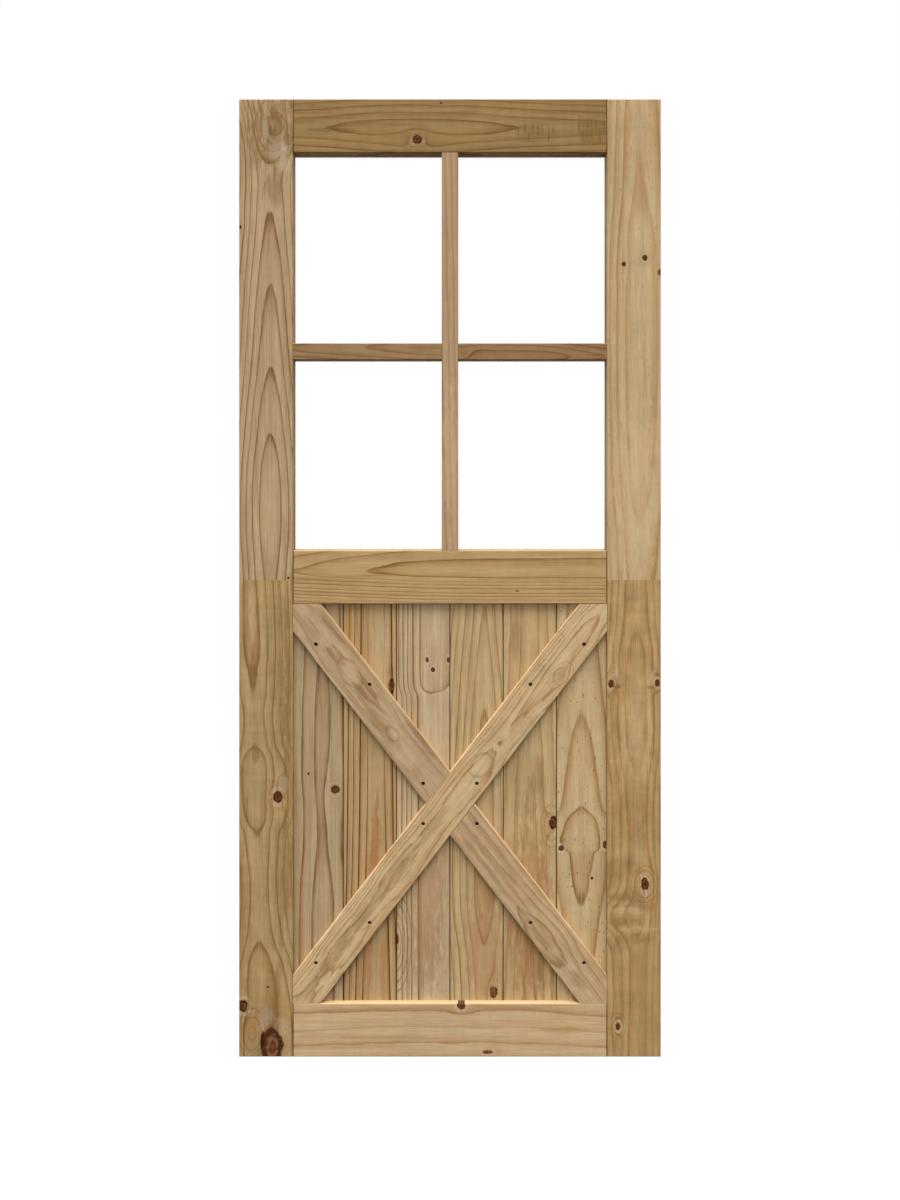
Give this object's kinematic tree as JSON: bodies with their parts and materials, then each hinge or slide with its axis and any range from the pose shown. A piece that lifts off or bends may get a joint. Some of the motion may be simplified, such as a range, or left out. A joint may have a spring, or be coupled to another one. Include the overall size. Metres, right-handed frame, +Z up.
{
  "type": "sliding glass barn door",
  "caption": "Knotty pine sliding barn door leaf with clear divided lights above the mid rail and a V-joint plank panel with an X brace below it.",
  "frame": {"origin": "middle of the leaf's bottom edge, halfway through its thickness", "axes": "+Z up the leaf, +X across it, +Y from its front (brace side) to its back"},
  "size_m": [0.9398, 0.035, 2.1336],
  "materials": {
    "pine_pale": "sanded, unfinished",
    "pine_tan": "sanded, unfinished",
    "pine_warm": "sanded, unfinished",
    "beech": "turned, unfinished",
    "clear_glass": "clear, polished",
    "glazing_tape": "matt foam",
    "pin_steel": "bright wire",
    "black_screw": "black phosphate"
  },
  "bodies": {
    "root": {"left_stile_lower": "pine_warm", "left_stile_upper": "pine_tan", "right_stile_lower": "pine_warm", "right_stile_upper": "pine_pale", "top_rail": "pine_tan", "mid_rail": "pine_warm", "bottom_rail": "pine_pale", "top_rail_dowels": "beech", "mid_rail_dowels": "beech", "bottom_rail_dowels": "beech", "glazing_bar_upright": "pine_tan", "glazing_bar_left": "pine_pale", "glazing_bar_right": "pine_pale", "pane_upper_left": "clear_glass", "pane_upper_right": "clear_glass", "pane_lower_left": "clear_glass", "pane_lower_right": "clear_glass", "glazing_tape_upper_left": "glazing_tape", "glazing_tape_upper_right": "glazing_tape", "glazing_tape_lower_left": "glazing_tape", "glazing_tape_lower_right": "glazing_tape", "bead_upper_left_top": "pine_pale", "bead_upper_left_bottom": "pine_pale", "bead_upper_left_left": "pine_pale", "bead_upper_left_right": "pine_pale", "bead_upper_right_top": "pine_pale", "bead_upper_right_bottom": "pine_pale", "bead_upper_right_left": "pine_pale", "bead_upper_right_right": "pine_pale", "bead_lower_left_top": "pine_pale", "bead_lower_left_bottom": "pine_pale", "bead_lower_left_left": "pine_pale", "bead_lower_left_right": "pine_pale", "bead_lower_right_top": "pine_pale", "bead_lower_right_bottom": "pine_pale", "bead_lower_right_left": "pine_pale", "bead_lower_right_right": "pine_pale", "bead_pins": "pin_steel", "plank_1": "pine_warm", "plank_2": "pine_pale", "plank_3": "pine_warm", "plank_4": "pine_pale", "plank_5": "pine_warm", "plank_6": "pine_pale", "brace_long": "pine_warm", "brace_upper": "pine_tan", "brace_lower": "pine_tan", "brace_screws": "black_screw"}
  },
  "joints": []
}
